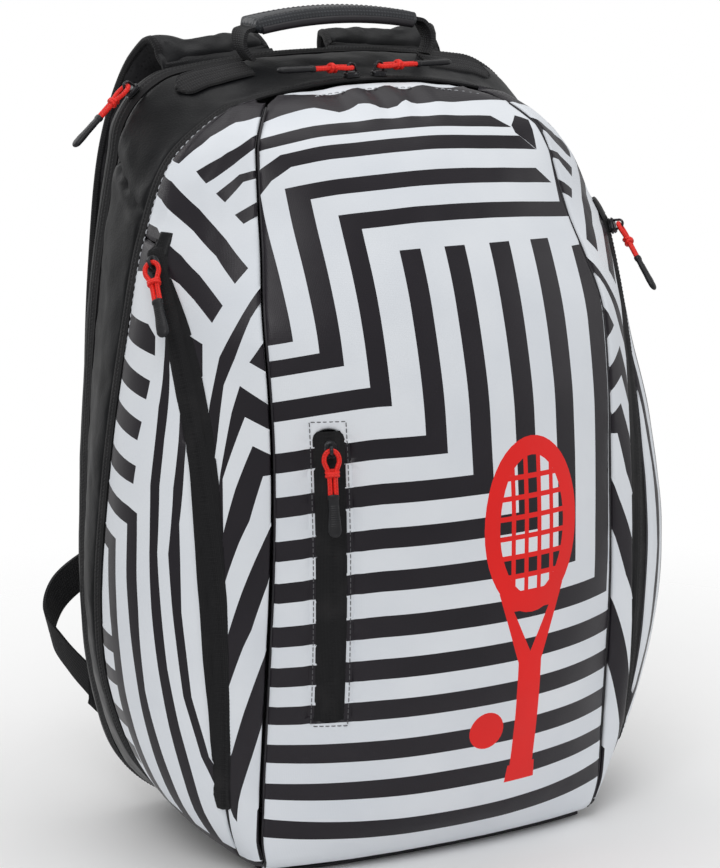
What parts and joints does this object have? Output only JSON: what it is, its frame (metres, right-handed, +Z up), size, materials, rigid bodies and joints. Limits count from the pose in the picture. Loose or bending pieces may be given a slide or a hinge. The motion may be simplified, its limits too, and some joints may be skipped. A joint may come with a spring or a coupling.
{
  "type": "racket backpack",
  "caption": "Domed racket backpack with striped front and side pockets, black rear compartment, coil zips with cord pullers, haul handle and padded shoulder straps.",
  "frame": {"origin": "on the floor, under the middle of the base", "axes": "+Z up, -Y out of the domed front panel, +Y towards the wearer's back, +X to the right seen from the front"},
  "size_m": [0.3648, 0.2583, 0.4898],
  "materials": {
    "striped_fabric": "coated smooth fabric, white with charcoal stripes, soft sheen",
    "coated_shell": "black polyurethane coated fabric, satin",
    "padded_mesh": "black air mesh over foam, matt",
    "zip_tape": "black woven zip tape with a covered coil, matt",
    "webbing": "black woven webbing, matt",
    "lining": "dark grey woven lining, matt",
    "stiffener": "moulded board, matt",
    "moulded_plastic": "black moulded plastic, satin",
    "zip_metal": "black enamelled die casting, satin",
    "pull_cord": "red coated cord, soft sheen"
  },
  "bodies": {
    "bag": {"front_panel": "striped_fabric", "left_front_gusset": "striped_fabric", "right_front_gusset": "striped_fabric", "left_side_pocket": "striped_fabric", "right_side_pocket": "striped_fabric", "rear_shell": "coated_shell", "back_edge": "coated_shell", "base_panel": "coated_shell", "left_strap_root": "coated_shell", "right_strap_root": "coated_shell", "back_panel": "padded_mesh", "lumbar_pad": "padded_mesh", "left_back_pad": "padded_mesh", "right_back_pad": "padded_mesh", "main_zip": "zip_tape", "rear_zip": "zip_tape", "front_pocket_zip": "zip_tape", "left_side_zip": "zip_tape", "right_side_zip": "zip_tape", "left_handle_anchor": "webbing", "right_handle_anchor": "webbing", "left_wing_tab": "webbing", "right_wing_tab": "webbing", "racket_divider": "lining", "laptop_sleeve": "lining", "front_pocket_lining": "lining", "frame_sheet": "stiffener", "base_board": "stiffener"},
    "main_left_slider": {"main_left_slider": "zip_metal"},
    "main_left_puller": {"main_left_pull_cord": "pull_cord", "main_left_pull_tip": "moulded_plastic"},
    "main_right_slider": {"main_right_slider": "zip_metal"},
    "main_right_puller": {"main_right_pull_cord": "pull_cord", "main_right_pull_tip": "moulded_plastic"},
    "rear_slider": {"rear_slider": "zip_metal"},
    "rear_puller": {"rear_pull_cord": "pull_cord", "rear_pull_tip": "moulded_plastic"},
    "front_pocket_slider": {"front_pocket_slider": "zip_metal"},
    "front_pocket_puller": {"front_pocket_pull_cord": "pull_cord", "front_pocket_pull_tip": "moulded_plastic"},
    "side_right_slider": {"side_right_slider": "zip_metal"},
    "side_right_puller": {"side_right_pull_cord": "pull_cord", "side_right_pull_tip": "moulded_plastic"},
    "side_left_slider": {"side_left_slider": "zip_metal"},
    "side_left_puller": {"side_left_pull_cord": "pull_cord", "side_left_pull_tip": "moulded_plastic"},
    "handle": {"handle_grip": "coated_shell", "left_handle_leg": "webbing", "right_handle_leg": "webbing"},
    "left_strap": {"left_shoulder_strap": "padded_mesh", "left_ladder_buckle": "moulded_plastic"},
    "left_webbing": {"left_lower_webbing": "webbing"},
    "right_strap": {"right_shoulder_strap": "padded_mesh", "right_ladder_buckle": "moulded_plastic"},
    "right_webbing": {"right_lower_webbing": "webbing"}
  },
  "joints": [
    {"name": "main_left_zip_travel", "type": "hinge", "parent": "bag", "child": "main_left_slider", "pos_m": [0, 0.0215, 0.122], "axis": [0, -1, 0], "range_deg": [0, 11.4]},
    {"name": "main_left_pull_flip", "type": "hinge", "parent": "main_left_slider", "child": "main_left_puller", "pos_m": [-0.00917, 0.0215, 0.45827], "axis": [0, 1, 0], "range_deg": [0, 85]},
    {"name": "main_right_zip_travel", "type": "hinge", "parent": "bag", "child": "main_right_slider", "pos_m": [0, 0.0215, 0.122], "axis": [0, 1, 0], "range_deg": [0, 11.4]},
    {"name": "main_right_pull_flip", "type": "hinge", "parent": "main_right_slider", "child": "main_right_puller", "pos_m": [0.00917, 0.0215, 0.45827], "axis": [0, -1, 0], "range_deg": [0, 85]},
    {"name": "rear_zip_travel", "type": "hinge", "parent": "bag", "child": "rear_slider", "pos_m": [-0.087, 0.079, 0.408], "axis": [0, 1, 0], "range_deg": [-20, 40]},
    {"name": "rear_pull_flip", "type": "hinge", "parent": "rear_slider", "child": "rear_puller", "pos_m": [-0.12688, 0.079, 0.44788], "axis": [0, 1, 0], "range_deg": [0, 120]},
    {"name": "front_pocket_zip_travel", "type": "hinge", "parent": "bag", "child": "front_pocket_slider", "pos_m": [-0.083, 0.774, 0.186], "axis": [1, 0, 0], "range_deg": [0, 10]},
    {"name": "front_pocket_pull_flip", "type": "hinge", "parent": "front_pocket_slider", "child": "front_pocket_puller", "pos_m": [-0.08536, -0.09858, 0.26051], "axis": [-0.9298, 0.3668, -0.0313], "range_deg": [0, 140]},
    {"name": "side_right_zip_travel", "type": "hinge", "parent": "bag", "child": "side_right_slider", "pos_m": [0.13962, 0.381, 0.135], "axis": [0.9987, 0, -0.0519], "range_deg": [0, 38]},
    {"name": "side_right_pull_flip", "type": "hinge", "parent": "side_right_slider", "child": "side_right_puller", "pos_m": [0.15556, -0.01456, 0.35912], "axis": [-0.725, -0.5818, 0.3686], "range_deg": [0, 120]},
    {"name": "side_left_zip_travel", "type": "hinge", "parent": "bag", "child": "side_left_slider", "pos_m": [-0.13962, 0.381, 0.135], "axis": [0.9987, 0, 0.0519], "range_deg": [0, 38]},
    {"name": "side_left_pull_flip", "type": "hinge", "parent": "side_left_slider", "child": "side_left_puller", "pos_m": [-0.15556, -0.01456, 0.35912], "axis": [-0.725, 0.5818, -0.3686], "range_deg": [0, 120]},
    {"name": "handle_lean", "type": "hinge", "parent": "bag", "child": "handle", "pos_m": [0, 0.057, 0.462], "axis": [1, 0, 0], "range_deg": [-12, 38]},
    {"name": "left_strap_swing", "type": "hinge", "parent": "bag", "child": "left_strap", "pos_m": [-0.057, 0.101, 0.451], "axis": [1, 0, 0], "range_deg": [0, 12]},
    {"name": "left_webbing_swing", "type": "hinge", "parent": "bag", "child": "left_webbing", "pos_m": [-0.145, 0.101, 0.078], "axis": [1, 0, 0], "range_deg": [-25.3, 0.1]},
    {"name": "right_strap_swing", "type": "hinge", "parent": "bag", "child": "right_strap", "pos_m": [0.057, 0.101, 0.451], "axis": [1, 0, 0], "range_deg": [0, 12]},
    {"name": "right_webbing_swing", "type": "hinge", "parent": "bag", "child": "right_webbing", "pos_m": [0.145, 0.101, 0.078], "axis": [1, 0, 0], "range_deg": [-25.3, 0.1]}
  ],
  "couplings": [
    {"joint": "left_webbing_swing", "follows": "left_strap_swing", "ratio": -2.1},
    {"joint": "right_webbing_swing", "follows": "right_strap_swing", "ratio": -2.1}
  ]
}
